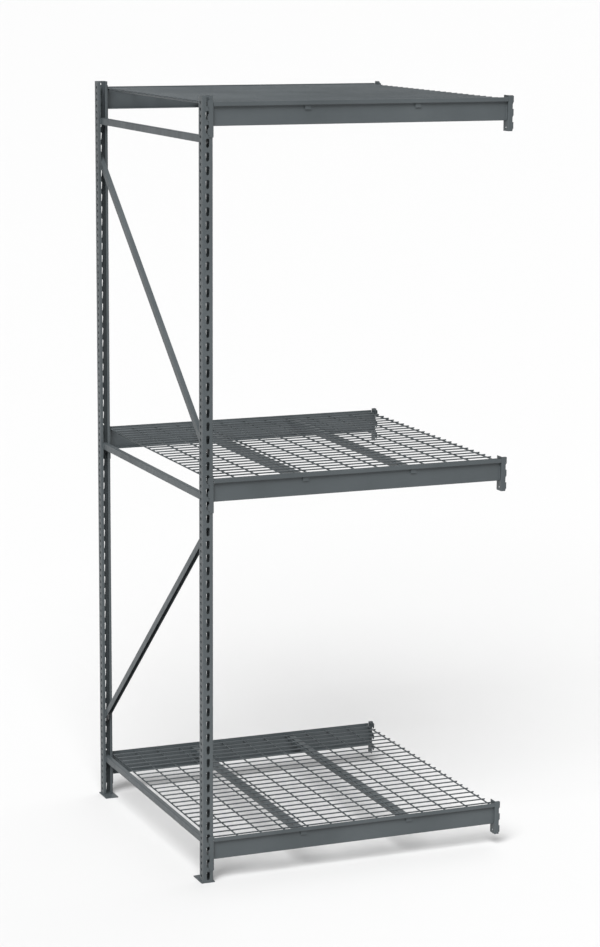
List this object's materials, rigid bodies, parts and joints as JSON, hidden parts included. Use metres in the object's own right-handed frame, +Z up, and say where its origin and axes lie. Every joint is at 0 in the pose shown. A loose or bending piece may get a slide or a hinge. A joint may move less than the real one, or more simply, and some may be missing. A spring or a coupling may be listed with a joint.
{
  "type": "boltless bulk storage rack add-on bay",
  "caption": "Add-on bay of boltless bulk storage rack: one welded slotted upright, three levels of hooked step beams and lift-out welded wire decks.",
  "frame": {"origin": "centre of the bounding box's footprint, on the floor", "axes": "+Z up; +X along the beams, from the upright towards the open end that hooks on the next bay; +Y from the front beams to the rear beams"},
  "size_m": [1.2928, 1.2726, 3.048],
  "materials": {
    "frame_coat": "dark slate grey powder coat, semi-gloss",
    "beam_coat": "dark slate grey powder coat, semi-gloss",
    "deck_wire": "dark slate grey powder coat over welded wire"
  },
  "bodies": {
    "upright": {"front_post": "frame_coat", "rear_post": "frame_coat", "front_base_plate": "frame_coat", "rear_base_plate": "frame_coat", "top_brace": "frame_coat", "middle_brace": "frame_coat", "bottom_brace": "frame_coat", "upper_diagonal": "frame_coat", "lower_diagonal": "frame_coat"},
    "top_level": {"top_front_beam": "beam_coat", "top_rear_beam": "beam_coat", "top_front_left_connector": "beam_coat", "top_front_right_connector": "beam_coat", "top_rear_left_connector": "beam_coat", "top_rear_right_connector": "beam_coat", "top_left_deck_support": "beam_coat", "top_right_deck_support": "beam_coat"},
    "top_deck": {"top_width_wires": "deck_wire", "top_depth_wires": "deck_wire"},
    "middle_level": {"middle_front_beam": "beam_coat", "middle_rear_beam": "beam_coat", "middle_front_left_connector": "beam_coat", "middle_front_right_connector": "beam_coat", "middle_rear_left_connector": "beam_coat", "middle_rear_right_connector": "beam_coat", "middle_left_deck_support": "beam_coat", "middle_right_deck_support": "beam_coat"},
    "middle_deck": {"middle_width_wires": "deck_wire", "middle_depth_wires": "deck_wire"},
    "bottom_level": {"bottom_front_beam": "beam_coat", "bottom_rear_beam": "beam_coat", "bottom_front_left_connector": "beam_coat", "bottom_front_right_connector": "beam_coat", "bottom_rear_left_connector": "beam_coat", "bottom_rear_right_connector": "beam_coat", "bottom_left_deck_support": "beam_coat", "bottom_right_deck_support": "beam_coat"},
    "bottom_deck": {"bottom_width_wires": "deck_wire", "bottom_depth_wires": "deck_wire"}
  },
  "joints": [
    {"name": "top_level_lift", "type": "slide", "parent": "upright", "child": "top_level", "axis": [0, 0, 1], "range_m": [0, 0.0145]},
    {"name": "top_deck_lift", "type": "slide", "parent": "top_level", "child": "top_deck", "axis": [0, 0, 1], "range_m": [0, 0.1]},
    {"name": "middle_level_lift", "type": "slide", "parent": "upright", "child": "middle_level", "axis": [0, 0, 1], "range_m": [0, 0.0145]},
    {"name": "middle_deck_lift", "type": "slide", "parent": "middle_level", "child": "middle_deck", "axis": [0, 0, 1], "range_m": [0, 0.1]},
    {"name": "bottom_level_lift", "type": "slide", "parent": "upright", "child": "bottom_level", "axis": [0, 0, 1], "range_m": [0, 0.0145]},
    {"name": "bottom_deck_lift", "type": "slide", "parent": "bottom_level", "child": "bottom_deck", "axis": [0, 0, 1], "range_m": [0, 0.1]}
  ]
}
